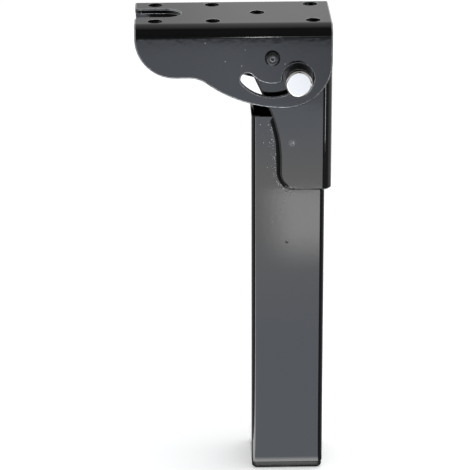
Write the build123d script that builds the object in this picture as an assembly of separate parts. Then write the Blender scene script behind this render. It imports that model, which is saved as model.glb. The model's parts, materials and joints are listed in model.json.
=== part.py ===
from build123d import *
from math import acos, atan2, cos, degrees, hypot, radians, sin, tan
import os

os.makedirs("parts", exist_ok=True)

# Folding table leg, millimetres. The origin is the centre of the foot's underside, +Z is up,
# +X runs along the bracket away from the folding side, and the front of the leg faces -Y.

# Overall
leg_height = 250.0

# Tube
tube_side = 38.0
tube_wall = 1.5
tube_corner = 2.5
tube_top_drop = 50.0
tube_face_to_pivot = 10.5

# Leg bracket, a folded sheet round three sides of the tube
leg_sheet = 2.5
leg_bend = 5.0
leg_edge_break = 0.9
lobe_clearance = 1.3
lobe_lean = 24.6
wall_edge_offset = 4.2
wall_blend = 70.0
wall_foot_round = 10.0
wall_drop = 89.5
web_drop = 20.0
web_gap = 1.0
web_top_blend = 6.0

# Top bracket, one folded sheet
bracket_length = 100.0
bracket_sheet = 2.5
bracket_bend = 6.5
bracket_edge_break = 0.5
cheek_gap = 2.0
cheek_corner = 20.8
cheek_step_flat = 6.5
cheek_step_drop = 27.4
cheek_step_blend = 15.0
cheek_belly_drop = 43.5
cheek_end_radius = 24.0

# Holes in the top plate
screw_hole = 7.5
screw_side_edge = 10.5
screw_left_edge = 10.5
screw_right_edge = 9.5
screw_middle_edge = 39.7
screw_centre_edge = 62.6
notch_width = 15.0
notch_depth = 23.4
notch_mouth_round = 3.5

# Pivot
pivot_drop = 17.0
pivot_from_end = 30.5
axle_diameter = 6.0
axle_running_gap = 0.05
axle_head_diameter = 7.7
axle_head_shoulder = 0.9
axle_head_top = 4.8
axle_head_height = 2.4
axle_dimple = 2.6
axle_dimple_depth = 0.9
washer_diameter = 13.0
washer_hole_gap = 0.08
washer_side_play = 0.15

# Keyhole in each cheek
lock_radius = 17.0
lock_angle = 39.7
keyhole_diameter = 15.9
slot_width = 6.8
slot_end_angle = 138.8
slot_mouth_round = 1.5

# Lock buttons, one to each side, with one spring between them
cap_diameter = 13.6
cap_reach = 10.0
cap_thickness = 5.3
cap_edge_break = 0.8
cap_bore_depth = 3.2
cap_bore_gap = 0.05
neck_gap = 0.3
shoulder_side_gap = 0.35
shoulder_end_gap = 0.3
button_bore_gap = 0.15
flange_lip = 1.4
flange_thickness = 1.2
flange_seat_gap = 0.2
spigot_diameter = 6.0
spigot_length = 6.0
spring_wire = 0.9
spring_inside_gap = 0.2
spring_turns = 5.0

# Foot plug
foot_inset = 0.3
foot_flange = 4.0
foot_corner = 3.0
foot_edge_break = 1.2
foot_sleeve_gap = 0.1
foot_sleeve_wall = 1.8
foot_sleeve_height = 18.0
foot_rib = 1.6

# Places that follow from the sizes
top = leg_height
wall_inner = tube_side / 2
wall_outer = wall_inner + leg_sheet
cheek_inner = wall_outer + cheek_gap
cheek_outer = cheek_inner + bracket_sheet
bracket_width = 2 * cheek_outer
web_inner = tube_side / 2 + web_gap
web_outer = web_inner + leg_sheet
pivot_x = tube_face_to_pivot - tube_side / 2
pivot_z = top - pivot_drop
right = pivot_x + pivot_from_end
left = right - bracket_length
tube_bottom = foot_flange
tube_top = top - tube_top_drop
lobe_radius = pivot_drop - bracket_sheet - lobe_clearance
lock_x = pivot_x + lock_radius * cos(radians(lock_angle))
lock_z = pivot_z - lock_radius * sin(radians(lock_angle))
shoulder_diameter = keyhole_diameter - 2 * shoulder_side_gap
button_bore = shoulder_diameter + 2 * button_bore_gap
neck_diameter = slot_width - 2 * neck_gap
cap_bore = neck_diameter + 2 * cap_bore_gap


def slab(face, y_low, y_high):
    """Face drawn on X and Z, made solid between two values of Y."""
    return extrude(Plane.XZ.offset(-y_low) * face, amount=y_low - y_high)


def rod_y(diameter, x, z, y_low, y_high):
    """Round bar along Y."""
    return slab(Pos(x, z) * Circle(diameter / 2), y_low, y_high)


def turned(points, x, z):
    """Solid turned about a line along Y at x and z, from points of radius and Y."""
    profile = make_face(Polyline(points, close=True))
    return Pos(x, 0, z) * revolve(profile, Axis.Y)


def break_edges(sheet, half_width, size, plain_diameters, keep):
    """Breaks the edges of both outer faces, but for those of the plain holes."""
    edges = []
    for edge in sheet.edges():
        box = edge.bounding_box()
        if box.size.Y > 1e-4 or abs(abs(box.min.Y) - half_width) > 1e-4:
            continue
        if edge.geom_type == GeomType.CIRCLE:
            if any(abs(2 * edge.radius - d) < 1e-4 for d in plain_diameters):
                continue
        if keep(box):
            edges.append(edge)
    return chamfer(edges, size)


# Top bracket: the folded section along X, trimmed by the cheek outline
def cheek_outline():
    step = top - cheek_step_drop
    belly = top - cheek_belly_drop
    corner_x = left + cheek_corner
    corner_z = step + cheek_corner
    blend_x = corner_x + cheek_step_flat
    end_x = right - cheek_end_radius
    run = end_x - blend_x
    fall = step - belly
    belly_radius = (run**2 + fall**2) / (2 * fall) - cheek_step_blend
    belly_z = belly + belly_radius
    lean = degrees(atan2(belly_z - step + cheek_step_blend, run))
    return make_face(
        [
            Line((left, top), (left, corner_z)),
            CenterArc((corner_x, corner_z), cheek_corner, 180, 90),
            Line((corner_x, step), (blend_x, step)),
            CenterArc((blend_x, step - cheek_step_blend), cheek_step_blend, 90, lean - 90),
            CenterArc((end_x, belly_z), belly_radius, 180 + lean, 90 - lean),
            CenterArc((end_x, belly + cheek_end_radius), cheek_end_radius, 270, 90),
            Line((right, belly + cheek_end_radius), (right, top)),
            Line((right, top), (left, top)),
        ]
    )


def keyhole():
    """Round hole joined to a curved slot that is centred on the pivot."""
    path = CenterArc((pivot_x, pivot_z), lock_radius, -lock_angle, lock_angle - slot_end_angle)
    shape = Pos(lock_x, lock_z) * Circle(keyhole_diameter / 2) + SlotArc(path, slot_width)
    mouth = []
    for vertex in shape.vertices():
        away = hypot(vertex.X - lock_x, vertex.Y - lock_z)
        if abs(away - keyhole_diameter / 2) < 1e-3:
            mouth.append(vertex)
    return fillet(mouth, slot_mouth_round)


def arch(width, height, bend):
    """Section on Y and Z of a block with two rounded upper corners."""
    depth = 2 * cheek_belly_drop
    shape = Pos(0, height - depth / 2) * Rectangle(width, depth)
    return fillet(shape.vertices().group_by(Axis.Y)[-1], bend)


section = arch(bracket_width, top, bracket_bend)
section -= arch(2 * cheek_inner, top - bracket_sheet, bracket_bend - bracket_sheet)
folded = extrude(Plane.YZ.offset(left) * section, amount=bracket_length)
top_bracket = folded & slab(cheek_outline(), -cheek_outer, cheek_outer)

notch_centre = left + notch_depth - notch_width / 2
notch = Pos((left + notch_centre) / 2, 0) * Rectangle(notch_centre - left, notch_width)
notch += Pos(notch_centre, 0) * Circle(notch_width / 2)
flare = Pos(left, 0) * Rectangle(2 * notch_mouth_round, notch_width + 2 * notch_mouth_round)
for side in (-1, 1):
    corner_y = side * (notch_width / 2 + notch_mouth_round)
    flare -= Pos(left + notch_mouth_round, corner_y) * Circle(notch_mouth_round)
notch_cut = extrude(notch + flare, amount=3 * bracket_sheet)
top_bracket -= Pos(0, 0, top - 2 * bracket_sheet) * notch_cut

screw_y = cheek_outer - screw_side_edge
screw_places = [(left + screw_centre_edge, 0)]
for x in (left + screw_left_edge, left + screw_middle_edge, right - screw_right_edge):
    screw_places.append((x, -screw_y))
    screw_places.append((x, screw_y))
for x, y in screw_places:
    top_bracket -= Pos(x, y, top - bracket_sheet) * Cylinder(screw_hole / 2, 4 * bracket_sheet)

keyhole_face = keyhole()
for side in (-1, 1):
    middle = side * (cheek_inner + cheek_outer) / 2
    top_bracket -= slab(keyhole_face, middle - bracket_sheet, middle + bracket_sheet)
top_bracket -= rod_y(axle_diameter, pivot_x, pivot_z, -cheek_outer - 1, cheek_outer + 1)
top_bracket = break_edges(
    top_bracket,
    cheek_outer,
    bracket_edge_break,
    [axle_diameter],
    lambda box: box.size.Z > 1e-4 or box.min.Z < top - bracket_bend - 1e-3,
)


# Leg bracket: the folded plan along Z, trimmed by the wall outline
def wall_outline():
    edge_x = pivot_x + wall_edge_offset
    low = top - wall_drop
    web_top = top - web_drop
    shelf_x = web_outer - leg_bend
    dx = shelf_x - pivot_x
    dz = web_top - pivot_z
    away = hypot(dx, dz)
    high_angle = degrees(atan2(dz, dx)) + degrees(acos(lobe_radius / away))
    low_angle = 180 + lobe_lean
    high_touch = (
        pivot_x + lobe_radius * cos(radians(high_angle)),
        pivot_z + lobe_radius * sin(radians(high_angle)),
    )
    low_touch = (
        pivot_x + lobe_radius * cos(radians(low_angle)),
        pivot_z + lobe_radius * sin(radians(low_angle)),
    )
    knee_z = low_touch[1] - (edge_x - low_touch[0]) / tan(radians(lobe_lean))
    back = wall_blend * tan(radians(lobe_lean / 2))
    blend_start = (
        edge_x - back * sin(radians(lobe_lean)),
        knee_z + back * cos(radians(lobe_lean)),
    )
    blend_end = (edge_x, knee_z - back)
    round_x = edge_x + wall_foot_round
    round_z = low + wall_foot_round
    face = make_face(
        [
            CenterArc((pivot_x, pivot_z), lobe_radius, high_angle, low_angle - high_angle),
            Line(low_touch, blend_start),
            CenterArc((edge_x - wall_blend, knee_z - back), wall_blend, lobe_lean, -lobe_lean),
            Line(blend_end, (edge_x, round_z)),
            CenterArc((round_x, round_z), wall_foot_round, 180, 90),
            Line((round_x, low), (web_outer, low)),
            Line((web_outer, low), (web_outer, web_top)),
            Line((web_outer, web_top), (shelf_x, web_top)),
            Line((shelf_x, web_top), high_touch),
        ]
    )
    shelf = []
    for vertex in face.vertices():
        if abs(vertex.X - shelf_x) < 1e-4 and abs(vertex.Y - web_top) < 1e-4:
            shelf.append(vertex)
    return fillet(shelf, web_top_blend)


def open_plan(end_x, width, bend):
    """Plan on X and Y of a block with two rounded corners at its right end."""
    start_x = pivot_x - 2 * lobe_radius
    shape = Pos((start_x + end_x) / 2, 0) * Rectangle(end_x - start_x, width)
    return fillet(shape.vertices().group_by(Axis.X)[-1], bend)


plan = open_plan(web_outer, 2 * wall_outer, leg_bend)
plan -= open_plan(web_inner, 2 * wall_inner, leg_bend - leg_sheet)
wrapped = Pos(0, 0, top - wall_drop - 1) * extrude(plan, amount=wall_drop + 1)
leg_bracket = wrapped & slab(wall_outline(), -wall_outer - 1, wall_outer + 1)
axle_hole = axle_diameter + 2 * axle_running_gap
leg_bracket -= rod_y(axle_hole, pivot_x, pivot_z, -wall_outer - 1, wall_outer + 1)
leg_bracket -= rod_y(button_bore, lock_x, lock_z, -wall_outer - 1, wall_outer + 1)
leg_bracket = break_edges(
    leg_bracket,
    wall_outer,
    leg_edge_break,
    [axle_hole, button_bore],
    lambda box: box.size.X > 1e-4 or box.min.X < web_outer - leg_bend - 1e-3,
)

# Square tube
outer = fillet(Rectangle(tube_side, tube_side).vertices(), tube_corner)
bore_side = tube_side - 2 * tube_wall
bore = fillet(Rectangle(bore_side, bore_side).vertices(), tube_corner - tube_wall)
leg_tube = Pos(0, 0, tube_bottom) * extrude(outer - bore, amount=tube_top - tube_bottom)

# Foot plug: a flange with a ribbed sleeve pushed into the tube
foot_side = tube_side - 2 * foot_inset
flange_face = fillet(Rectangle(foot_side, foot_side).vertices(), foot_corner)
foot_plug = extrude(flange_face, amount=foot_flange)
foot_plug = chamfer(foot_plug.edges().group_by(Axis.Z)[0], foot_edge_break)
sleeve_side = bore_side - 2 * foot_sleeve_gap
sleeve_hollow = sleeve_side - 2 * foot_sleeve_wall
sleeve = fillet(Rectangle(sleeve_side, sleeve_side).vertices(), tube_corner - tube_wall)
sleeve -= Rectangle(sleeve_hollow, sleeve_hollow)
sleeve += Rectangle(sleeve_side - foot_sleeve_wall, foot_rib)
sleeve += Rectangle(foot_rib, sleeve_side - foot_sleeve_wall)
foot_plug += Pos(0, 0, foot_flange) * extrude(sleeve, amount=foot_sleeve_height)

# Pivot axle, formed over at both ends, with a spacing washer inside each cheek
head_end = cheek_outer + axle_head_height
half_axle = [
    (0, 0),
    (axle_diameter / 2, 0),
    (axle_diameter / 2, cheek_outer),
    (axle_head_diameter / 2, cheek_outer),
    (axle_head_diameter / 2, cheek_outer + axle_head_shoulder),
    (axle_head_top / 2, head_end),
    (axle_dimple / 2, head_end),
    (0, head_end - axle_dimple_depth),
]
axle_half = turned(half_axle, pivot_x, pivot_z)
pivot_axle = axle_half + mirror(axle_half, Plane.XZ)

washer_start = wall_outer + washer_side_play
washer_hole = axle_diameter + 2 * washer_hole_gap
washer_back = rod_y(washer_diameter, pivot_x, pivot_z, washer_start, cheek_inner)
washer_back -= rod_y(washer_hole, pivot_x, pivot_z, washer_start - 1, cheek_inner + 1)
washer_front = mirror(washer_back, Plane.XZ)

# Lock: cap outside, plunger through the keyhole and the leg bracket, spring between
cap_end = cheek_outer + cap_reach
cap_under = cap_end - cap_thickness
cap_profile = [
    (0, cap_under + cap_bore_depth),
    (cap_bore / 2, cap_under + cap_bore_depth),
    (cap_bore / 2, cap_under),
    (cap_diameter / 2, cap_under),
    (cap_diameter / 2, cap_end - cap_edge_break),
    (cap_diameter / 2 - cap_edge_break, cap_end),
    (0, cap_end),
]
cap_back = turned(cap_profile, lock_x, lock_z)
cap_front = mirror(cap_back, Plane.XZ)

shoulder_end = cheek_inner - shoulder_end_gap
flange_end = wall_inner - flange_seat_gap
flange_start = flange_end - flange_thickness
spigot_start = flange_start - spigot_length
pin_end = cap_under + cap_bore_depth - cap_bore_gap
plunger_profile = [
    (0, spigot_start),
    (spigot_diameter / 2, spigot_start),
    (spigot_diameter / 2, flange_start),
    (shoulder_diameter / 2 + flange_lip, flange_start),
    (shoulder_diameter / 2 + flange_lip, flange_end),
    (shoulder_diameter / 2, flange_end),
    (shoulder_diameter / 2, shoulder_end),
    (neck_diameter / 2, shoulder_end),
    (neck_diameter / 2, pin_end),
    (0, pin_end),
]
plunger_back = turned(plunger_profile, lock_x, lock_z)
plunger_front = mirror(plunger_back, Plane.XZ)

# The spring's wire is six-sided, which keeps its mesh small
coil_radius = spigot_diameter / 2 + spring_inside_gap + spring_wire / 2
coil_length = 2 * flange_start - spring_wire
coil_path = Helix(coil_length / spring_turns, coil_length, coil_radius)
wire = Plane(coil_path @ 0, z_dir=coil_path % 0) * RegularPolygon(spring_wire / 2, 6)
coil = sweep(wire, coil_path, is_frenet=True)
lock_spring = Pos(lock_x, coil_length / 2, lock_z) * Rot(90, 0, 0) * coil

nodes = {
    "top_bracket": top_bracket,
    "leg_bracket": leg_bracket,
    "leg_tube": leg_tube,
    "foot_plug": foot_plug,
    "pivot_axle": pivot_axle,
    "pivot_washer_front": washer_front,
    "pivot_washer_back": washer_back,
    "lock_cap_front": cap_front,
    "lock_cap_back": cap_back,
    "lock_plunger_front": plunger_front,
    "lock_plunger_back": plunger_back,
    "lock_spring": lock_spring,
}
for name, shape in nodes.items():
    shape.label = name
    export_step(shape, "parts/" + name + ".step")
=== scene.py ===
# %% [markdown]
# # A folding table leg, dressed for the camera
#
# The solids of this leg come from CAD and stay as they are. What is left for Blender is what the
# eye sees of them: baked black paint with its faint ripple, a bright plated push button, a formed
# axle head, a moulded foot, and the light that the paint mirrors. Each step below says what the
# real thing is, how it could be made here, and why one way was chosen.

# %% Load the frame
import json

import bmesh
import bpy
import numpy as np
from mathutils import Matrix, Vector

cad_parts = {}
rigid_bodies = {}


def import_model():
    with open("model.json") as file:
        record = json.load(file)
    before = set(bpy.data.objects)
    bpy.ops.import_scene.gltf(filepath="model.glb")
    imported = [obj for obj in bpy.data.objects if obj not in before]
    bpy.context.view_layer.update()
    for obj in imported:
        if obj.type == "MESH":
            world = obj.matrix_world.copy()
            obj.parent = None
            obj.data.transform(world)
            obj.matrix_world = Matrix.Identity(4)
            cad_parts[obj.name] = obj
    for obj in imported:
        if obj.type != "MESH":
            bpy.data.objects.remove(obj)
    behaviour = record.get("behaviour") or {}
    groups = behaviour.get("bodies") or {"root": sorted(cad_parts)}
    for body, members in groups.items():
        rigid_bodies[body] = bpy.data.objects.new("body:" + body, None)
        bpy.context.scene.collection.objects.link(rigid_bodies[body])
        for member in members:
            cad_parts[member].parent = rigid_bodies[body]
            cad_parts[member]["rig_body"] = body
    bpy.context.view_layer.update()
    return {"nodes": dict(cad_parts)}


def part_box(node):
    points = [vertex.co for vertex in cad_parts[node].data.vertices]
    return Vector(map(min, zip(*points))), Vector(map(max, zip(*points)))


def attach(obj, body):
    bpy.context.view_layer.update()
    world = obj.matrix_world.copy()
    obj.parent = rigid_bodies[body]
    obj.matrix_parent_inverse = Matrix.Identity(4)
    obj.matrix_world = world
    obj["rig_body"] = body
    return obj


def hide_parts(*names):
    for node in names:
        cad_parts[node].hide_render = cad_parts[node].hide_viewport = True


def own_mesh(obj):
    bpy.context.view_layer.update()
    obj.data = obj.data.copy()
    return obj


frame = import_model()
nodes = frame["nodes"]
MM = 0.001
print("pieces from CAD:", sorted(nodes))

# %% [markdown]
# ## Places read from the frame
#
# New pieces must sit where the solids say. So the axle's line, the button's line and the outer
# faces are read from the boxes of the CAD nodes, instead of being typed again.

# %% Read the places
def middle(node):
    """Middle of a CAD node's box, as an array."""
    low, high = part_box(node)
    return (np.array(low) + np.array(high)) / 2


axle_x, _, axle_z = middle("pivot_axle")
button_x, _, button_z = middle("lock_cap_front")
axle_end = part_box("pivot_axle")[1].y
cheek_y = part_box("top_bracket")[1].y
cap_low, cap_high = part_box("lock_cap_back")
cap_radius = (cap_high.x - cap_low.x) / 2
cap_inner, cap_outer = cap_low.y, cap_high.y
head_radius = (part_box("pivot_axle")[1].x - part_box("pivot_axle")[0].x) / 2
print("axle at", round(axle_x / MM, 2), round(axle_z / MM, 2), "mm")
print("button at", round(button_x / MM, 2), round(button_z / MM, 2), "mm")

# %% [markdown]
# ## The camera
#
# The photograph looks slightly down on the front of the leg from a little over a metre. The
# camera's place, its tilt and its long lens were fitted to the screw holes, the keyhole and the
# tube's edges. The aim is built from three turns: how far it looks down, aside, and how much it
# leans.

# %% Make the camera
PHOTO_SIDE = 470
FOCAL_PIXELS = 2376.4
SENSOR_WIDTH = 36.0
CAMERA_PLACE = (-0.05502, -1.17686, 0.57384)
look_down, look_aside, lean = 0.3619, 0.0237, 0.0036

forward = np.array([
    np.sin(look_aside) * np.cos(look_down),
    np.cos(look_aside) * np.cos(look_down),
    -np.sin(look_down),
])
level_right = np.array([np.cos(look_aside), -np.sin(look_aside), 0.0])
level_down = np.cross(forward, level_right)
right = level_right * np.cos(lean) + level_down * np.sin(lean)
up = np.cross(right, forward)

camera_data = bpy.data.cameras.new("photo_camera")
camera_data.sensor_width = SENSOR_WIDTH
camera_data.lens = SENSOR_WIDTH * FOCAL_PIXELS / PHOTO_SIDE
camera_data.clip_start, camera_data.clip_end = 0.01, 50.0
camera = bpy.data.objects.new("photo_camera", camera_data)
bpy.context.scene.collection.objects.link(camera)
turn = np.eye(4)
turn[:3, 0], turn[:3, 1], turn[:3, 2] = right, up, -forward
turn[:3, 3] = CAMERA_PLACE
camera.matrix_world = Matrix(turn.tolist())
bpy.context.scene.camera = camera
bpy.context.scene.view_settings.view_transform = "Standard"
print("lens", round(camera_data.lens, 1), "mm")

# %% [markdown]
# ## Small tools
#
# Colours are written the way a paint chart gives them, as sRGB hex, and one function turns them
# to the linear light that the shaders work in. Another adds a node with its settings and links,
# so a material reads as a list of what it is made of.

# %% Colour and node helpers
def linear(hex_colour):
    """Linear RGBA of an sRGB hex colour: c / 12.92 when dark, else ((c + 0.055) / 1.055) ** 2.4."""
    srgb = np.array([int(hex_colour[i:i + 2], 16) for i in (1, 3, 5)]) / 255
    light = np.where(srgb <= 0.04045, srgb / 12.92, ((srgb + 0.055) / 1.055) ** 2.4)
    return (*light.tolist(), 1.0)


def add(tree, kind, settings=None, inputs=None):
    """Adds a node. Settings are its own properties; an input is a value, or a socket to link from."""
    node = tree.nodes.new(kind)
    for name, value in (settings or {}).items():
        setattr(node, name, value)
    for name, value in (inputs or {}).items():
        if isinstance(value, bpy.types.NodeSocket):
            tree.links.new(value, node.inputs[name])
        else:
            node.inputs[name].default_value = value
    return node


def new_material(name):
    """A material with an empty tree and its output node."""
    material = bpy.data.materials.new(name)
    material.use_nodes = True
    material.node_tree.nodes.clear()
    output = add(material.node_tree, "ShaderNodeOutputMaterial")
    return material, material.node_tree, output


# %% [markdown]
# Round pieces are profiles turned about a line. The grid has one row for each profile point and
# one column for each step round, so every vertex comes from one array sum. A profile that
# starts and ends on the axis closes by itself once the points at each pole are merged.

# %% Turned surfaces
def mesh_object(name, points, faces, material, body):
    """A mesh object at the origin that rides on a body, with smooth faces turned outwards."""
    mesh = bpy.data.meshes.new(name)
    mesh.from_pydata(points.reshape(-1, 3).tolist(), [], faces.tolist())
    piece = bpy.data.objects.new(name, mesh)
    bpy.context.scene.collection.objects.link(piece)
    mesh.materials.append(material)
    tidy_shell(mesh)
    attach(piece, body)
    return piece


def tidy_shell(mesh):
    """Merges double points, drops empty faces, and turns all faces outwards."""
    shell = bmesh.new()
    shell.from_mesh(mesh)
    bmesh.ops.remove_doubles(shell, verts=shell.verts, dist=1e-7)
    bmesh.ops.dissolve_degenerate(shell, edges=shell.edges, dist=1e-8)
    bmesh.ops.recalc_face_normals(shell, faces=shell.faces)
    shell.to_mesh(mesh)
    shell.free()
    mesh.polygons.foreach_set("use_smooth", np.ones(len(mesh.polygons), bool))


def grid_faces(rows, columns):
    """Quads of a grid that is open along its rows and joins up round its columns."""
    row, column = np.meshgrid(np.arange(rows - 1), np.arange(columns), indexing="ij")
    beside = (column + 1) % columns
    corners = (row * columns + column, row * columns + beside,
               (row + 1) * columns + beside, (row + 1) * columns + column)
    return np.stack(corners, -1).reshape(-1, 4)


def turned(profile, x, z, steps=96):
    """Grid of a profile (radius, y) turned about a line along Y: x + r sin t, y, z + r cos t."""
    radius, y = np.asarray(profile, float).T
    turn_angle = np.linspace(0, 2 * np.pi, steps, endpoint=False)
    points = np.stack([
        x + np.outer(radius, np.sin(turn_angle)),
        np.repeat(y[:, None], steps, 1),
        z + np.outer(radius, np.cos(turn_angle)),
    ], -1)
    return points, grid_faces(len(radius), steps)


def corner_round(before, corner, after, radius, steps=7):
    """Points of an arc that rounds a corner: the angle between its two normals, in equal steps."""
    before, corner, after = (np.asarray(p, float) for p in (before, corner, after))
    inward = (before - corner) / np.linalg.norm(before - corner)
    onward = (after - corner) / np.linalg.norm(after - corner)
    half = np.arccos(np.clip(inward @ onward, -1, 1)) / 2
    centre = corner + (inward + onward) / np.linalg.norm(inward + onward) * radius / np.sin(half)
    start = corner + inward * radius / np.tan(half) - centre
    end = corner + onward * radius / np.tan(half) - centre
    share = np.linspace(0, 1, steps)[:, None]
    sweep = np.pi - 2 * half
    return centre + (np.sin((1 - share) * sweep) * start + np.sin(share * sweep) * end) / np.sin(sweep)


def rounded(corners):
    """A profile whose corners (radius, y, rounding) are each cut by an arc of that rounding."""
    spots = [np.array(c[:2], float) for c in corners]
    parts = [spots[0][None]]
    for i in range(1, len(corners) - 1):
        if corners[i][2] > 0:
            parts.append(corner_round(spots[i - 1], spots[i], spots[i + 1], corners[i][2]))
        else:
            parts.append(spots[i][None])
    parts.append(spots[-1][None])
    return np.concatenate(parts)


# %% [markdown]
# ## Baked black paint
#
# The brackets and the tube are steel sheet under a baked black powder paint. It is smooth and
# fairly glossy, so most of what the eye sees is the room in it: pale where a face mirrors the
# table, black where it mirrors the dark room. Up close the coat has a slow ripple about 2.6 mm
# across, called orange peel, a finer grain, and now and then a speck of dust baked in.
# A clear coat over a slightly rough base gives the sharp and the soft reflection at once.

# %% Black paint
def dust_nibs(tree, place, cell, size):
    """Height of rare round specks: one in a Voronoi cell, where the cell's random colour is high."""
    cells = add(tree, "ShaderNodeTexVoronoi", inputs={"Vector": place, "Scale": 1 / cell})
    near = add(tree, "ShaderNodeMapRange", inputs={
        "Value": cells.outputs["Distance"], "From Min": size / cell, "From Max": 0.3 * size / cell})
    pick = add(tree, "ShaderNodeSeparateColor", inputs={"Color": cells.outputs["Color"]})
    rare = add(tree, "ShaderNodeMath", {"operation": "GREATER_THAN"},
               {0: pick.outputs["Red"], 1: 0.8})
    return add(tree, "ShaderNodeMath", {"operation": "MULTIPLY"},
               {0: near.outputs["Result"], 1: rare.outputs[0]}).outputs[0]


def spot(tree, place, where_mm, radius):
    """1 at a given place on the part and 0 beyond the radius, from the distance to that place."""
    away = add(tree, "ShaderNodeVectorMath", {"operation": "DISTANCE"},
               {0: place, 1: [v * MM for v in where_mm]})
    return add(tree, "ShaderNodeMapRange", inputs={
        "Value": away.outputs["Value"], "From Min": radius, "From Max": 0.35 * radius}).outputs["Result"]


def most(tree, values):
    """The largest of several values."""
    largest = values[0]
    for value in values[1:]:
        largest = add(tree, "ShaderNodeMath", {"operation": "MAXIMUM"}, {0: largest, 1: value}).outputs[0]
    return largest


NIBS_MM = ((-42.3, -26, 241.2), (-32.3, -26, 231.6), (-24.1, -26, 229.1), (-2.1, -26, 230.0),
           (-8.0, -19, 142.4), (-3.5, -19, 148.9), (-12.6, -19, 186.0))
PIT_MM = (-0.5, -19, 131.2)
SPOT_WELD_MM = (1.8, -21.5, 186.4)
SPECK_GREY = "#b4b6ba"
RIPPLE, GRAIN, CLOUD = 2.6 * MM, 0.5 * MM, 18 * MM


def black_paint(name, light, dark, rough_low, rough_high, ripple_depth, coat=0.4, mirror=0.5):
    """Baked black powder paint: dark base, clear gloss, orange peel, dust nibs, pit and weld mark."""
    material, tree, output = new_material(name)
    place = add(tree, "ShaderNodeTexCoord").outputs["Object"]
    ripple = add(tree, "ShaderNodeTexNoise", inputs={
        "Vector": place, "Scale": 1 / RIPPLE, "Detail": 1.0, "Roughness": 0.4})
    grain = add(tree, "ShaderNodeTexNoise", inputs={
        "Vector": place, "Scale": 1 / GRAIN, "Detail": 2.0})
    cloud = add(tree, "ShaderNodeTexNoise", inputs={
        "Vector": place, "Scale": 1 / CLOUD, "Detail": 3.0})
    nibs = most(tree, [dust_nibs(tree, place, 11 * MM, 0.30 * MM)]
                + [spot(tree, place, where, 0.42 * MM) for where in NIBS_MM])
    pits = add(tree, "ShaderNodeTexNoise", inputs={
        "Vector": place, "Scale": 1 / (0.45 * MM), "Detail": 2.0, "Roughness": 0.7})
    rough_pits = add(tree, "ShaderNodeMapRange", inputs={
        "Value": pits.outputs["Fac"], "From Min": 0.50, "From Max": 0.62})
    crater = add(tree, "ShaderNodeMath", {"operation": "MULTIPLY"}, {
        0: spot(tree, place, SPOT_WELD_MM, 2.3 * MM), 1: rough_pits.outputs["Result"]})
    tone = add(tree, "ShaderNodeMix", {"data_type": "RGBA"}, {
        "Factor": cloud.outputs["Fac"], "A": linear(dark), "B": linear(light)})
    speck = add(tree, "ShaderNodeMix", {"data_type": "RGBA"}, {
        "Factor": most(tree, [nibs, crater.outputs[0]]), "A": tone.outputs["Result"],
        "B": linear(SPECK_GREY)})
    shine = add(tree, "ShaderNodeMapRange", inputs={
        "Value": cloud.outputs["Fac"], "From Min": 0.3, "From Max": 0.7,
        "To Min": rough_low, "To Max": rough_high})
    slow = add(tree, "ShaderNodeBump", inputs={
        "Height": ripple.outputs["Fac"], "Strength": 0.35, "Distance": ripple_depth})
    fine = add(tree, "ShaderNodeBump", inputs={
        "Height": grain.outputs["Fac"], "Strength": 0.5, "Distance": 0.002 * MM,
        "Normal": slow.outputs["Normal"]})
    sunk = add(tree, "ShaderNodeBump", {"invert": True}, {
        "Height": spot(tree, place, PIT_MM, 0.75 * MM), "Strength": 1.0, "Distance": 0.6 * MM,
        "Normal": fine.outputs["Normal"]})
    raised = add(tree, "ShaderNodeBump", inputs={
        "Height": nibs, "Strength": 0.8, "Distance": 0.08 * MM, "Normal": sunk.outputs["Normal"]})
    skin = add(tree, "ShaderNodeBsdfPrincipled", inputs={
        "Base Color": speck.outputs["Result"], "Roughness": shine.outputs["Result"], "IOR": 1.5,
        "Specular IOR Level": mirror, "Coat Weight": coat, "Coat Roughness": 0.02, "Coat IOR": 1.5,
        "Normal": raised.outputs["Normal"], "Coat Normal": raised.outputs["Normal"]})
    tree.links.new(skin.outputs["BSDF"], output.inputs["Surface"])
    return material


paint = black_paint("baked_black_powder_paint", "#0e0e0f", "#0a0a0b", 0.05, 0.09, 0.020 * MM)
print("made", paint.name)

# %% [markdown]
# Powder melts and draws back from a sharp edge, so there the coat is thin and greyer steel shows
# through. The light line that runs round the sheet's rims and screw holes is painted in: a second
# paint, lighter, part metal and less smooth, goes on the top bracket's rounded edges. Its grey is
# partly that thin coat and partly a painted highlight, the light that the rounded rims mirror. A
# paler mix of the same kind paints glints, drawn as bare steel: on the weld's spatter and on two
# rings of each axle end. The paint over the weld is duller, with a deeper ripple, and darker, which
# is partly painted shade for the dark band along the bead.

# %% Thin paint on edges
def pale_highlight_paint(name, dark, light):
    """Pale paint for painted highlights and glints: grey, partly metallic, uneven over 1.5 mm."""
    material, tree, output = new_material(name)
    place = add(tree, "ShaderNodeTexCoord").outputs["Object"]
    patchy = add(tree, "ShaderNodeTexNoise", inputs={
        "Vector": place, "Scale": 1 / (1.5 * MM), "Detail": 3.0, "Roughness": 0.65})
    bare = add(tree, "ShaderNodeMapRange", inputs={
        "Value": patchy.outputs["Fac"], "From Min": 0.38, "From Max": 0.62})
    tone = add(tree, "ShaderNodeMix", {"data_type": "RGBA"}, {
        "Factor": bare.outputs["Result"], "A": linear(dark), "B": linear(light)})
    shine = add(tree, "ShaderNodeMapRange", inputs={
        "Value": patchy.outputs["Fac"], "From Min": 0.3, "From Max": 0.7, "To Min": 0.34, "To Max": 0.22})
    skin = add(tree, "ShaderNodeBsdfPrincipled", inputs={
        "Base Color": tone.outputs["Result"], "Metallic": 0.40, "Roughness": shine.outputs["Result"],
        "Coat Weight": 0.3, "Coat Roughness": 0.08})
    tree.links.new(skin.outputs["BSDF"], output.inputs["Surface"])
    return material


# The rim paint is partly a painted highlight; the paler steel below it paints glints.
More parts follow.
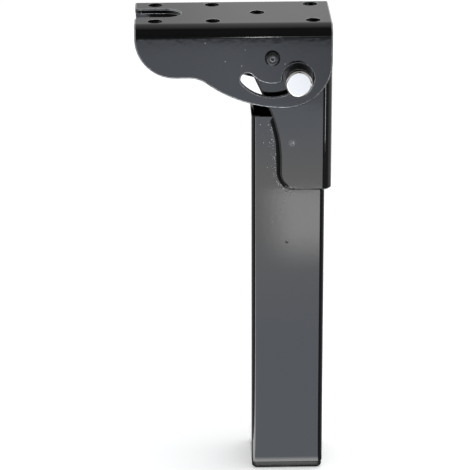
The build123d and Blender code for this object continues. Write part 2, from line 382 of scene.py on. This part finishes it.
edge_highlight_paint = pale_highlight_paint("thin_edge_coat_with_painted_highlight", "#7c7d80", "#ced0d2")
glint_steel = pale_highlight_paint("steel_with_painted_glint", "#8c8e91", "#e0e1e3")
# The weld's paint is duller and darker; its darkness is partly painted shade.
weld_paint_darkened_as_shade = black_paint("duller_weld_coat_with_painted_shade", "#0b0b0c", "#070707", 0.16, 0.30, 0.20 * MM,
                         coat=0.0, mirror=0.18)
print("made", edge_highlight_paint.name, glint_steel.name, weld_paint_darkened_as_shade.name)

# %% [markdown]
# ## Moulded foot plastic
#
# The foot is taken for black polyethylene, injection moulded. It is duller than the paint, with
# a fine even sparkle from the tool's eroded surface, whose dots are drawn 0.3 mm apart and finer.

# %% Foot plastic
def foot_plastic():
    """Black moulded polyethylene with an eroded texture."""
    material, tree, output = new_material("moulded_black_polyethylene")
    place = add(tree, "ShaderNodeTexCoord").outputs["Object"]
    pits = add(tree, "ShaderNodeTexNoise", inputs={
        "Vector": place, "Scale": 1 / (0.3 * MM), "Detail": 3.0})
    bump = add(tree, "ShaderNodeBump", inputs={
        "Height": pits.outputs["Fac"], "Strength": 0.5, "Distance": 0.03 * MM})
    shine = add(tree, "ShaderNodeMapRange", inputs={
        "Value": pits.outputs["Fac"], "To Min": 0.45, "To Max": 0.62})
    skin = add(tree, "ShaderNodeBsdfPrincipled", inputs={
        "Base Color": linear("#1b1b1c"), "Roughness": shine.outputs["Result"], "IOR": 1.51,
        "Specular IOR Level": 0.38, "Normal": bump.outputs["Normal"]})
    tree.links.new(skin.outputs["BSDF"], output.inputs["Surface"])
    return material


plastic = foot_plastic()
print("made", plastic.name)

# %% [markdown]
# ## Plated and plain steel
#
# The button's cap is turned on a lathe and then plated bright. The cutter leaves rings round the
# middle, drawn 0.7 mm apart so that they show, which break the reflections into faint circles.
# The plungers, the spring and the washers are darkened or plain steel with rings 0.3 mm apart.
# One function makes all three metals, because they differ only in colour, gloss and marks. The
# rings are drawn about the button's line or the axle's, which a Mapping node moves to the
# pattern's origin. The spring is only thin wire, so it shares the washers' steel.

# %% Metals
def turned_metal(name, tone, darker, roughness, pitch, depth, x, z):
    """Steel with lathe rings about a line along Y: the height is the sine of the distance to it."""
    material, tree, output = new_material(name)
    place = add(tree, "ShaderNodeTexCoord").outputs["Object"]
    centred = add(tree, "ShaderNodeMapping", {"vector_type": "POINT"}, {
        "Vector": place, "Location": (-x, 0, -z), "Scale": (1, 0, 1)})
    away = add(tree, "ShaderNodeVectorMath", {"operation": "LENGTH"}, {0: centred.outputs[0]})
    phase = add(tree, "ShaderNodeMath", {"operation": "MULTIPLY"},
                {0: away.outputs["Value"], 1: 2 * np.pi / pitch})
    rings = add(tree, "ShaderNodeMath", {"operation": "SINE"}, {0: phase.outputs[0]})
    smear = add(tree, "ShaderNodeTexNoise", inputs={
        "Vector": place, "Scale": 1 / (1.5 * MM), "Detail": 4.0})
    colour = add(tree, "ShaderNodeMix", {"data_type": "RGBA"}, {
        "Factor": smear.outputs["Fac"], "A": linear(darker), "B": linear(tone)})
    gloss = add(tree, "ShaderNodeMapRange", inputs={
        "Value": smear.outputs["Fac"], "From Min": 0.3, "From Max": 0.7,
        "To Min": roughness * 0.8, "To Max": roughness * 1.25})
    bump = add(tree, "ShaderNodeBump", inputs={
        "Height": rings.outputs[0], "Strength": 0.6, "Distance": depth})
    skin = add(tree, "ShaderNodeBsdfPrincipled", inputs={
        "Base Color": colour.outputs["Result"], "Metallic": 1.0, "Roughness": gloss.outputs["Result"],
        "Normal": bump.outputs["Normal"]})
    tree.links.new(skin.outputs["BSDF"], output.inputs["Surface"])
    return material


plating = turned_metal("bright_nickel_plating", "#ece8e3", "#dedad4", 0.07,
                       0.7 * MM, 0.0012 * MM, button_x, button_z)
plunger_steel = turned_metal("darkened_turned_steel", "#6a6b6e", "#4c4d50", 0.35,
                             0.3 * MM, 0.004 * MM, button_x, button_z)
plain_steel = turned_metal("plain_ground_steel", "#b8b8b6", "#8d8d8c", 0.32,
                           0.3 * MM, 0.004 * MM, axle_x, axle_z)

# %% [markdown]
# ## Folded sheets, tube and foot
#
# The brackets are blanked from 2.5 mm sheet and folded, and the tube is drawn steel. Their shape
# is right in CAD. What is missing is the thick soft edge that powder paint leaves all round, and
# that edge is what draws the bright and dark lines in the photograph. A copy of the node's mesh
# is merged and its flat triangles joined, a Bevel modifier rounds every edge steeper than a
# given angle, and Weighted Normal keeps the large flat faces mirror flat. The copy stands where
# the node stands. Bevel never lets two roundings overlap, so where a sheet has short edges it
# makes all of them narrower than asked: about 0.2 mm on the top bracket, and about a quarter of
# the width asked on the leg bracket. Without that limit the top plate's face breaks.

# %% Rounded copies
FOLD_START = 15.9 * MM
OUTER_SIDE = 20.3 * MM
SAME_POINT = 0.002 * MM
SAME_PLANE = np.radians(0.6)


def edge_weights(shell, steepest, share, outer_side):
    """Bevel weight of each edge: 0 when flatter than steepest, 1 on the outer side, else share.

    The outer side ends where the fold starts, because two widths that meet on a bend cross.
    """
    bend = np.array([edge.calc_face_angle(0.0) for edge in shell.edges])
    aside = np.array([[abs(vert.co.y) for vert in edge.verts] for edge in shell.edges]).min(1)
    across = np.array([[vert.co.x for vert in edge.verts] for edge in shell.edges]).max(1)
    outside = (aside > outer_side) & (across < FOLD_START)
    return np.where(bend < np.radians(steepest), 0.0, np.where(outside, 1.0, share))


def rounded_copy(node, name, material, width, outer=None, outer_side=0.0, rim=None, steepest=28):
    """A merged copy of a CAD node with rounded edges, which replaces it."""
    mesh = nodes[node].data.copy()
    mesh.name = name
    shell = bmesh.new()
    shell.from_mesh(mesh)
    bmesh.ops.remove_doubles(shell, verts=shell.verts, dist=SAME_POINT)
    bmesh.ops.dissolve_limit(shell, angle_limit=SAME_PLANE, verts=shell.verts, edges=shell.edges)
    outer = outer or width
    weights = edge_weights(shell, steepest, width / outer, outer_side)
    layer = shell.edges.layers.float.new("bevel_weight_edge")
    for edge, weight in zip(shell.edges, weights):
        edge[layer] = weight
    shell.to_mesh(mesh)
    shell.free()
    mesh.materials.clear()
    mesh.materials.append(material)
    if rim:
        mesh.materials.append(rim)
    mesh.polygons.foreach_set("use_smooth", np.ones(len(mesh.polygons), bool))
    piece = bpy.data.objects.new(name, mesh)
    bpy.context.scene.collection.objects.link(piece)
    bevel = piece.modifiers.new("soft_edges", "BEVEL")
    bevel.width, bevel.segments = outer, 3
    bevel.limit_method = "WEIGHT"
    bevel.material = 1 if rim else -1
    bevel.miter_outer = "MITER_ARC"
    print(name, int((weights > 0).sum()), "edges rounded")
    flats = piece.modifiers.new("flats", "WEIGHTED_NORMAL")
    flats.mode, flats.weight, flats.keep_sharp = "FACE_AREA", 50, True
    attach(piece, nodes[node]["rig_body"])
    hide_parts(node)
    return piece


# The top bracket's rounded edges get the rim paint, a painted highlight.
rounded_copy("top_bracket", "top_plate_and_cheeks", paint, 0.30 * MM, rim=edge_highlight_paint)
rounded_copy("leg_bracket", "folded_leg_bracket", paint, 0.30 * MM,
             outer=0.60 * MM, outer_side=OUTER_SIDE)
rounded_copy("leg_tube", "square_tube", paint, 0.25 * MM)
rounded_copy("foot_plug", "foot", plastic, 0.25 * MM)


def refinish(node, material):
    """Gives a kept CAD node its material."""
    nodes[node].data.materials.clear()
    nodes[node].data.materials.append(material)


for node in ("pivot_washer_front", "pivot_washer_back"):
    refinish(node, plain_steel)

# %% [markdown]
# ## The weld
#
# The leg bracket is welded to the tube along its curved edge, and the paint went over the weld.
# A weld bead is a row of frozen ripples lying in the corner between the tube's face and the
# sheet's edge. Here the edge's own points are read from the CAD mesh, the bead's section is a
# slope with a slight hump, and its size swells a little at each ripple. Small round drops of
# spatter lie beside it.

# %% Weld bead
TUBE_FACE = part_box("leg_tube")[1].y
BEAD_WIDTH, BEAD_HEIGHT, BEAD_HUMP = 1.75 * MM, 1.45 * MM, 0.10 * MM
BEAD_ROOT, BEAD_TOE = 0.15 * MM, 0.10 * MM


def weld_line(step=0.35 * MM):
    """Points of the leg bracket's edge on the tube, from the tube's top down, at equal steps."""
    mesh = nodes["leg_bracket"].data
    places = np.empty(len(mesh.vertices) * 3)
    mesh.vertices.foreach_get("co", places)
    places = places.reshape(-1, 3)
    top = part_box("leg_tube")[1].z
    on_face = (np.abs(places[:, 1] + TUBE_FACE) < 0.03 * MM) & (places[:, 0] < 5 * MM)
    edge = np.unique(places[on_face & (places[:, 2] < top + 0.005)].round(6), axis=0)[:, [0, 2]]
    edge = edge[np.argsort(-edge[:, 1])]
    run = np.concatenate([[0], np.cumsum(np.linalg.norm(np.diff(edge, axis=0), axis=1))])
    start = np.interp(-top, -edge[:, 1], run) + 0.8 * MM
    even = np.arange(start, run[-1], step)
    return np.stack([np.interp(even, run, edge[:, 0]), np.interp(even, run, edge[:, 1])], -1), even


def weld_bead(side):
    """Section from the bead's width on the tube to its height on the edge: straight plus a sine.

    Both ends of the section swell with the ripple and shrink where the bead starts and ends.
    """
    line, run = weld_line()
    along = np.gradient(line, axis=0)
    along /= np.linalg.norm(along, axis=1, keepdims=True)
    away = np.stack([along[:, 1], -along[:, 0]], -1)
    swell = 1 + 0.10 * np.abs(np.sin(np.pi * run / (1.3 * MM))) + 0.07 * np.sin(run / (2.9 * MM) + side)
    to_end = np.minimum((run - run[0]) / (1.5 * MM), (run[-1] - run) / (6.0 * MM))
    taper = np.clip(to_end, 0.10, 1) ** 0.5
    t = np.linspace(0, 1, 9)
    hump = BEAD_HUMP * np.sin(np.pi * t)
    out = np.concatenate([BEAD_WIDTH * (1 - t) + hump, [-BEAD_ROOT, -BEAD_ROOT]])
    rise = np.concatenate([BEAD_HEIGHT * t + hump, [BEAD_HEIGHT, -BEAD_ROOT]])
    rise[0] = -BEAD_TOE
    size = (swell * taper)[:, None]
    flat = line[:, None, :] + away[:, None, :] * (out[None] * size)[..., None]
    height = side * (TUBE_FACE + np.where(rise > 0, rise[None] * size, rise[None]))
    points = np.stack([flat[..., 0], height, flat[..., 1]], -1)
    ends = (np.repeat(points[:1].mean(1, keepdims=True), len(out), 1),
            np.repeat(points[-1:].mean(1, keepdims=True), len(out), 1))
    points = np.concatenate([ends[0], points, ends[1]])
    name = "weld_bead_front" if side < 0 else "weld_bead_back"
    faces = grid_faces(len(points), len(out))
    # The bead's darker paint is partly painted shade for the dark band along the edge.
    return mesh_object(name, points, faces, weld_paint_darkened_as_shade, "leg")


def spatter(side, count=95):
    """Half balls on the tube beside the bead: seeded places along it, radii 0.16 to 0.38 mm."""
    line, _ = weld_line()
    chance = np.random.default_rng(7 if side < 0 else 8)
    pick = chance.integers(3, len(line) - 3, count)
    along = np.gradient(line, axis=0)[pick]
    along /= np.linalg.norm(along, axis=1, keepdims=True)
    away = np.stack([along[:, 1], -along[:, 0]], -1)
    place = line[pick] + away * (1.95 * MM + chance.exponential(1.0 * MM, count))[:, None]
    radius = chance.uniform(0.16, 0.38, count) * MM
    ring, rows, lowest = 8, 4, -0.2
    rise = np.linspace(lowest, np.pi / 2, rows)
    turn_by = np.linspace(0, 2 * np.pi, ring, endpoint=False)
    unit = np.stack(np.broadcast_arrays(
        np.cos(rise)[:, None] * np.cos(turn_by),
        np.sin(rise)[:, None],
        np.cos(rise)[:, None] * np.sin(turn_by)), -1)
    floor_ring = np.repeat(np.array([[[0, np.sin(lowest), 0]]]), ring, 1)
    unit = np.concatenate([floor_ring, unit])
    centre = np.stack([place[:, 0], np.full(count, TUBE_FACE), place[:, 1]], -1)
    points = centre[:, None, None, :] + unit[None] * radius[:, None, None, None]
    points[..., 1] *= side
    one = grid_faces(rows + 1, ring)
    faces = (one[None] + np.arange(count)[:, None, None] * (rows + 1) * ring).reshape(-1, 4)
    name = "weld_spatter_front" if side < 0 else "weld_spatter_back"
    # The drops get the paler steel, a painted glint.
    return mesh_object(name, points, faces, glint_steel, "leg")


for side in (-1, 1):
    weld_bead(side)
    spatter(side)

# %% [markdown]
# ## The lock button's cap
#
# The cap is a turned slug with its front edge rounded over and a small rounding behind. The solid
# has one straight cut at the front edge, so a finer turned surface takes its place, with the same
# reach and width. The blind bore behind, which the plunger fills, is left out. Front and back are
# the same profile, one mirrored to the other side.

# %% Caps
def cap(side, body):
    """Turned cap: a disc on the button's line with a rounded outer rim."""
    profile = rounded([
        (0, cap_inner, 0),
        (cap_radius, cap_inner, 0.3 * MM),
        (cap_radius, cap_outer, 0.9 * MM),
        (cap_radius - 1.05 * MM, cap_outer, 0),
        (0.5 * MM, cap_outer, 0),
        (0, cap_outer, 0),
    ])
    profile[:, 1] *= side
    points, faces = turned(profile, button_x, button_z)
    name = "button_cap_front" if side < 0 else "button_cap_back"
    piece = mesh_object(name, points, faces, plating, body)
    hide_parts("lock_cap_front" if side < 0 else "lock_cap_back")
    return piece


cap(-1, "button_front")
cap(1, "button_back")
for node in ("lock_plunger_front", "lock_plunger_back"):
    refinish(node, plunger_steel)

# %% [markdown]
# ## The pivot axle
#
# The axle is a steel pin, painted with the bracket, whose ends were formed over in a press. The
# tool leaves a shoulder, a raised rim and a dimple in the middle. One profile runs from the
# middle of the dimple on one side to the middle of the dimple on the other. The faces round the
# head and on the dimple's rim, picked by their distance from the axle's line, get the paler
# steel: a painted highlight for the light rings these rims show.

# %% Axle
def axle():
    """Turned pin: dimple, rim and head at each end, and the plain shank between."""
    shank = 3.0 * MM
    reach = axle_end
    half = [
        (0, reach - 0.9 * MM, 0),
        (0.8 * MM, reach - 0.9 * MM, 0.35 * MM),
        (1.5 * MM, reach, 0.25 * MM),
        (head_radius - 0.75 * MM, reach, 0.7 * MM),
        (head_radius, reach - 1.3 * MM, 0.4 * MM),
        (head_radius, cheek_y + 0.02 * MM, 0),
        (shank, cheek_y + 0.02 * MM, 0),
    ]
    other = [(r, -y, rounding) for r, y, rounding in reversed(half)]
    profile = rounded(half + other)
    points, faces = turned(profile, axle_x, axle_z)
    piece = mesh_object("axle_pin", points, faces, paint, "bracket")
    piece.data.materials.append(glint_steel)
    centres = np.array([face.center for face in piece.data.polygons])
    away = np.hypot(centres[:, 0] - axle_x, centres[:, 2] - axle_z)
    # Rings on each head get the paler steel, a painted highlight of the rims.
    highlight_rings = ((np.abs(centres[:, 1]) > reach - 1.2 * MM)
            & (((away > head_radius - 0.30 * MM) & (away < head_radius - 0.02 * MM))
               | ((away > 1.0 * MM) & (away < 1.2 * MM))))
    piece.data.polygons.foreach_set("material_index", highlight_rings.astype(np.int32))
    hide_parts("pivot_axle")
    return piece


axle()

# %% [markdown]
# ## The lock spring
#
# Between the two plungers a coil of round spring wire pushes both buttons out. Its middle line is
# a helix about the button's line, and the wire is a small circle carried along it on the
# helix's own normals. The coils lie closer at the ends, at about two thirds of the mean spacing.
# Either button may press it, so it is two halves with a hair's gap in the middle. Each rides on
# its own button.


def spring_half(side):
    """Tube along half a helix: centre + R (cos a, sin a), y eased at the end, wire radius w."""
    low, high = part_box("lock_spring")
    wire_radius = 0.45 * MM
    coil_radius = (high.x - low.x) / 2 - wire_radius
    turns, per_turn, ring = 5, 48, 12
    first, last = (0.0, 0.499) if side < 0 else (0.501, 1.0)
    share = np.linspace(first, last, turns * per_turn // 2 + 1)
    angle = 2 * np.pi * turns * share
    eased = share - np.sin(2 * np.pi * share) / (2 * np.pi) * 0.35
    y = (low.y + wire_radius) + (high.y - low.y - 2 * wire_radius) * eased
    line = np.stack([button_x + coil_radius * np.cos(angle), y,
                     button_z + coil_radius * np.sin(angle)], -1)
    along = np.gradient(line, axis=0)
    along /= np.linalg.norm(along, axis=1, keepdims=True)
    outward = np.stack([np.cos(angle), np.zeros_like(angle), np.sin(angle)], -1)
    outward -= (outward * along).sum(1, keepdims=True) * along
    outward /= np.linalg.norm(outward, axis=1, keepdims=True)
    across = np.cross(along, outward)
    around = np.linspace(0, 2 * np.pi, ring, endpoint=False)
    points = (line[:, None] + wire_radius * (np.cos(around)[None, :, None] * outward[:, None]
              + np.sin(around)[None, :, None] * across[:, None]))
    ends = (np.repeat(line[:1, None], ring, 1), np.repeat(line[-1:, None], ring, 1))
    points = np.concatenate([ends[0], points, ends[1]])
    faces = grid_faces(len(points), ring)
    half = "front" if side < 0 else "back"
    piece = mesh_object("coil_spring_" + half, points, faces, plain_steel, "button_" + half)
    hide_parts("lock_spring")
    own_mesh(piece)
    return piece


for side in (-1, 1):
    spring_half(side)

# %% [markdown]
# ## The studio
#
# Black gloss paint has hardly any colour of its own: it mirrors about an eighteenth of what
# stands before it, so the studio is part of the finish. What stood where is a guess from the
# photograph. Flat faces that look at the viewer mirror the table in front, rounded corners run
# through the dark cloths and the room round it, and the top plate mirrors a grey scrim behind.
#
# The pale floor is for the camera. It keeps the leg's shadow, because its matt paint is lit as
# any other, and a little light of its own, for camera and mirror rays only, lifts it to white.
# The boards and cloths that shape the reflections are seen in the mirror only, as a
# photographer's are, who keeps them out of the frame.

# %% Floor and background
def stage_mesh(name, points, faces, material, mirror_only=False):
    """A surface that belongs to the stage and not to the leg."""
    mesh = bpy.data.meshes.new(name)
    mesh.from_pydata(np.asarray(points).reshape(-1, 3).tolist(), [], np.asarray(faces).tolist())
    mesh.materials.append(material)
    sheet = bpy.data.objects.new(name, mesh)
    bpy.context.scene.collection.objects.link(sheet)
    if mirror_only:
        sheet.visible_camera = sheet.visible_diffuse = sheet.visible_shadow = False
        sheet.visible_transmission = False
    return sheet


def seen_or_mirrored(tree):
    """1 for rays from the camera, from a mirror or through glass, else 0."""
    path = add(tree, "ShaderNodeLightPath")
    first = add(tree, "ShaderNodeMath", {"operation": "MAXIMUM"},
                {0: path.outputs["Is Camera Ray"], 1: path.outputs["Is Glossy Ray"]})
    return add(tree, "ShaderNodeMath", {"operation": "MAXIMUM"},
               {0: first.outputs[0], 1: path.outputs["Is Transmission Ray"]}).outputs[0]


def floor_material():
    """Pale matt board with some light of its own for camera and mirror rays."""
    material, tree, output = new_material("pale_matt_floor")
    matt = add(tree, "ShaderNodeBsdfDiffuse", inputs={"Color": linear("#e9e9e8")})
    glow = add(tree, "ShaderNodeEmission", inputs={"Color": (1, 1, 1, 1), "Strength": 0.35})
    none = add(tree, "ShaderNodeEmission", inputs={"Strength": 0.0})
    chosen = add(tree, "ShaderNodeMixShader", inputs={
        0: seen_or_mirrored(tree), 1: none.outputs[0], 2: glow.outputs[0]})
    both = add(tree, "ShaderNodeAddShader", inputs={0: matt.outputs[0], 1: chosen.outputs[0]})
    tree.links.new(both.outputs[0], output.inputs["Surface"])
    return material


FLOOR = 4.0
stage_mesh("floor", [(-FLOOR, -FLOOR, 0), (FLOOR, -FLOOR, 0), (FLOOR, FLOOR, 0), (-FLOOR, FLOOR, 0)],
           [(0, 1, 2, 3)], floor_material())

world = bpy.data.worlds.new("studio")
bpy.context.scene.world = world
world.use_nodes = True
sky = world.node_tree
sky.nodes.clear()
white = add(sky, "ShaderNodeBackground", inputs={"Color": (1, 1, 1, 1), "Strength": 1.0})
soft = add(sky, "ShaderNodeBackground", inputs={"Color": linear("#f4f6fa"), "Strength": 0.55})
choice = add(sky, "ShaderNodeMixShader", inputs={
    0: seen_or_mirrored(sky), 1: soft.outputs[0], 2: white.outputs[0]})
add(sky, "ShaderNodeOutputWorld", inputs={"Surface": choice.outputs[0]})

# %% [markdown]
# ### Boards and cloths
#
# A board's light is chosen from what its mirror image should look like. If the paint mirrors a
# share R and the face should render as the sRGB grey g, the board shines with linear(g) / R. The
# board on the table has three tones: a narrow pale rim by the foot, a bluish card near the leg
# and far from it, and a neutral card between them that carries one soft pale patch. The numbers
# beside the tones are distances in front of the leg, in metres. A paler strip lies along the
# board's left side. The velvet beside the board has about a seventh of white's light, far more
# than real velvet, so that the leg isn't pure black from other sides. The dark room stands only
# in front and is 0.8 m wide, with grey cloth to either side of it.

# %% Light of the boards
MIRROR_SHARE = 0.055


def board_light(grey):
    """Linear RGB that a board needs so that its image in the paint renders as the grey."""
    return np.array(linear(grey)[:3]) / MIRROR_SHARE


def glowing(name, colour):
    """A material with the same light all over."""
    material, tree, output = new_material(name)
    strength = float(np.max(colour))
    glow = add(tree, "ShaderNodeEmission", inputs={
        "Color": (*(np.asarray(colour) / strength), 1.0), "Strength": strength})
    tree.links.new(glow.outputs[0], output.inputs["Surface"])
    return material


def ramp(tree, position, stops, top):
    """A colour ramp over a share from 0 to 1; its colours are divided by top to stay below 1."""
    node = add(tree, "ShaderNodeValToRGB", inputs={"Fac": position})
    elements = node.color_ramp.elements
    elements[0].position, elements[-1].position = stops[0][0], stops[-1][0]
    for place, _ in stops[1:-1]:
        elements.new(place)
    for element, (_, colour) in zip(elements, stops):
        element.color = (*(np.asarray(colour) / top), 1.0)
    return node.outputs["Color"]


def share_of(tree, value, low, high, smooth=True):
    """How far a value lies between low and high, from 0 to 1."""
    return add(tree, "ShaderNodeMapRange", {
        "interpolation_type": "SMOOTHSTEP" if smooth else "LINEAR"},
        {"Value": value, "From Min": low, "From Max": high}).outputs["Result"]


BOARD_REACH = 0.871
RIM_CARD, BLUISH_CARD, NEUTRAL_CARD, PATCH_GREY = "#888888", "#53565b", "#5c5c5c", "#808080"
board_stops = [(0.024, RIM_CARD), (0.028, RIM_CARD), (0.030, BLUISH_CARD), (0.20, BLUISH_CARD),
               (0.40, NEUTRAL_CARD), (0.50, NEUTRAL_CARD), (0.62, BLUISH_CARD),
               (BOARD_REACH, BLUISH_CARD)]
side_stops = [(0.0, (0.75,) * 3), (0.5, (0.85,) * 3), (1.0, (0.60,) * 3)]


def graduated_board():
    """Ramp over the distance, dimmed to the sides far out, plus a soft patch right of the middle."""
    material, tree, output = new_material("graduated_board")
    place = add(tree, "ShaderNodeTexCoord").outputs["Object"]
    axes = add(tree, "ShaderNodeSeparateXYZ", inputs={0: place})
    aside, depth = axes.outputs["X"], axes.outputs["Y"]
    out = share_of(tree, depth, 0.0, -BOARD_REACH, smooth=False)
    stops = [(distance / BOARD_REACH, board_light(grey)) for distance, grey in board_stops]
    top = 4.0
    base = ramp(tree, out, stops, top)
    dim = ramp(tree, share_of(tree, aside, -0.10, 0.08, smooth=False), side_stops, 1.0)
    far = share_of(tree, depth, -0.662, -0.680)
    side = add(tree, "ShaderNodeMix", {"data_type": "RGBA"}, {
        "Factor": far, "A": (1, 1, 1, 1), "B": dim}).outputs["Result"]
    patch = add(tree, "ShaderNodeMath", {"operation": "MULTIPLY"}, {
        0: share_of(tree, depth, -0.300, -0.385), 1: share_of(tree, depth, -0.472, -0.460)})
    patch = add(tree, "ShaderNodeMath", {"operation": "MULTIPLY"}, {
        0: patch.outputs[0], 1: share_of(tree, aside, -0.006, 0.024)}).outputs[0]
    lit = add(tree, "ShaderNodeMix", {"data_type": "RGBA"}, {
        "Factor": patch, "A": base, "B": (*(board_light(PATCH_GREY) / top), 1.0)}).outputs["Result"]
    dimmed = add(tree, "ShaderNodeMix", {"data_type": "RGBA", "blend_type": "MULTIPLY"}, {
        "Factor": 1.0, "A": lit, "B": side}).outputs["Result"]
    glow = add(tree, "ShaderNodeEmission", inputs={"Color": dimmed, "Strength": top})
    tree.links.new(glow.outputs[0], output.inputs["Surface"])
    return material


def strip(rows, height):
    """A floor strip from rows of (distance in front, left x, right x), and its faces."""
    rows = np.asarray(rows)
    points = np.stack([rows[:, [1, 2]], -np.repeat(rows[:, :1], 2, 1),
                       np.full((len(rows), 2), height)], -1)
    index = np.arange(len(rows) - 1)[:, None] * 2
    return points, np.concatenate([index, index + 1, index + 3, index + 2], 1)


board_rows = [(0.020, -0.0234, 0.0190), (0.100, -0.0370, 0.0260), (0.668, -0.1336, 0.0800),
              (BOARD_REACH, -0.1681, 0.1000)]
light_rows = [(d, -0.045 - 0.26 * d, left) for d, left, _ in board_rows]
CLOTH_HEIGHT, FAR_CLOTH_HEIGHT = 0.4 * MM, 0.6 * MM
BOARD_HEIGHT, SIDE_LIGHT_HEIGHT = 1.2 * MM, 1.6 * MM
stage_mesh("table_board", *strip(board_rows, BOARD_HEIGHT), graduated_board(), mirror_only=True)
stage_mesh("edge_light", *strip(light_rows, BOARD_HEIGHT),
           glowing("edge_light", board_light("#949494")), mirror_only=True)


def sector(near, far, start, end, height, steps=16):
    """Flat ring sector on the table: x = r sin t, y = -r cos t, t in degrees from the front."""
    angle = np.radians(np.linspace(start, end, steps))
    radius = np.array([near, far])
    points = np.stack(np.broadcast_arrays(
        radius[None, :] * np.sin(angle)[:, None], -radius[None, :] * np.cos(angle)[:, None], height), -1)
    index = np.arange(steps - 1)[:, None] * 2
    return points, np.concatenate([index, index + 1, index + 3, index + 2], 1)


velvet = glowing("black_velvet", np.array(linear("#6b6c6d")[:3]))
grey_cloth = glowing("grey_cloth", np.array(linear("#b8b9bb")[:3]))
CLOTH_REACH = 3.0
cloths = ((6, 74, velvet), (-62, -8, velvet), (74, 125, grey_cloth), (-125, -62, grey_cloth))
for start, end, cloth in cloths:
    stage_mesh("cloth_on_table", *sector(0.0, CLOTH_REACH, start, end, CLOTH_HEIGHT), cloth,
               mirror_only=True)
stage_mesh("velvet_far_on_table", *sector(BOARD_REACH, CLOTH_REACH, -10, 6, FAR_CLOTH_HEIGHT),
           velvet, mirror_only=True)
stage_mesh("side_light", *sector(0.58, 0.86, 32, 37, SIDE_LIGHT_HEIGHT),
           glowing("side_light", board_light("#a8a8a8")), mirror_only=True)


def canopy(name, low, high, material, left=-5.0, right=5.0, radius=2.2, steps=32):
    """Part of a cylinder about X: y = -R cos e, z = R sin e, with e in degrees from the front."""
    rise = np.radians(np.linspace(low, high, steps))
    side = np.array([left, right])
    points = np.stack(np.broadcast_arrays(
        side[None, :], -radius * np.cos(rise)[:, None], radius * np.sin(rise)[:, None]), -1)
    index = np.arange(steps - 1)[:, None] * 2
    faces = np.concatenate([index, index + 1, index + 3, index + 2], 1)
    return stage_mesh(name, points, faces, material, mirror_only=True)


def scrim_material():
    """Grey scrim: darker overhead than behind, and darker on the left than on the right."""
    material, tree, output = new_material("grey_scrim")
    axes = add(tree, "ShaderNodeSeparateXYZ", inputs={
        0: add(tree, "ShaderNodeTexCoord").outputs["Object"]})
    back = share_of(tree, axes.outputs["Y"], -0.95, 1.9)
    aside = share_of(tree, axes.outputs["X"], -0.10, 0.05)
    high = ramp(tree, back, [(0.0, (0.02,) * 3), (0.12, (0.25,) * 3), (0.4, (0.55,) * 3),
                             (1.0, (0.60,) * 3)], 1.0)
    strength = add(tree, "ShaderNodeMapRange", inputs={
        "Value": aside, "To Min": 0.79, "To Max": 0.99}).outputs["Result"]
    glow = add(tree, "ShaderNodeEmission", inputs={"Color": high, "Strength": strength})
    tree.links.new(glow.outputs[0], output.inputs["Surface"])
    return material


ROOM_LOW, ROOM_TOP, SCRIM_END = -20, 64, 175
DARK_HALF, ROOM_HALF = 0.4, 5.0
room_light = np.array(linear("#424344")[:3])
canopy("dark_room", ROOM_LOW, ROOM_TOP, glowing("dark_room", room_light), -DARK_HALF, DARK_HALF)
canopy("left_room", ROOM_LOW, ROOM_TOP, grey_cloth, -ROOM_HALF, -DARK_HALF)
canopy("right_room", ROOM_LOW, ROOM_TOP, grey_cloth, DARK_HALF, ROOM_HALF)
canopy("grey_scrim", ROOM_TOP, SCRIM_END, scrim_material())

# %% [markdown]
# The bright line on the fold is the image of one small lamp across the room, just above the
# table's level, and its faint end is the image of a dim window beside the lamp. Both are small
# cards, far off, so their images are one thin stroke.

# %% Small far lamp and window
def upright_card(name, x_low, x_high, y, z_low, z_high, material):
    """A small upright card that faces the leg."""
    points = [(x_low, y, z_low), (x_high, y, z_low), (x_high, y, z_high), (x_low, y, z_high)]
    return stage_mesh(name, points, [(0, 1, 2, 3)], material, mirror_only=True)


CARD_FAR, CARD_TOP = -1.9, 0.14
LAMP_LIGHT = np.array([16.0, 16.0, 16.0])
WINDOW_LIGHT = np.array([0.8, 0.8, 0.82])
upright_card("far_lamp", 0.030, 0.066, CARD_FAR, 0.0, CARD_TOP, glowing("far_lamp", LAMP_LIGHT))
upright_card("far_window", 0.070, 0.146, CARD_FAR, 0.0, CARD_TOP,
             glowing("far_window", WINDOW_LIGHT))

# %% [markdown]
# One large soft box overhead gives the plain light and the soft shadow under the foot. It is
# kept out of the mirrors, because the scrim already stands for it there.

# %% Lamp
def soft_box(name, place, aim, width, height, watts):
    """Area lamp at a place that shines towards the aim."""
    data = bpy.data.lights.new(name, "AREA")
    data.shape, data.size, data.size_y, data.energy = "RECTANGLE", width, height, watts
    lamp = bpy.data.objects.new(name, data)
    bpy.context.scene.collection.objects.link(lamp)
    lamp.location = place
    away = Vector(place) - Vector(aim)
    lamp.rotation_mode = "QUATERNION"
    lamp.rotation_quaternion = away.to_track_quat("Z", "Y")
    lamp.visible_camera = lamp.visible_glossy = False
    return lamp


soft_box("overhead_box", (0.2, 0.1, 1.5), (0, 0, 0.1), 1.0, 1.0, 14)
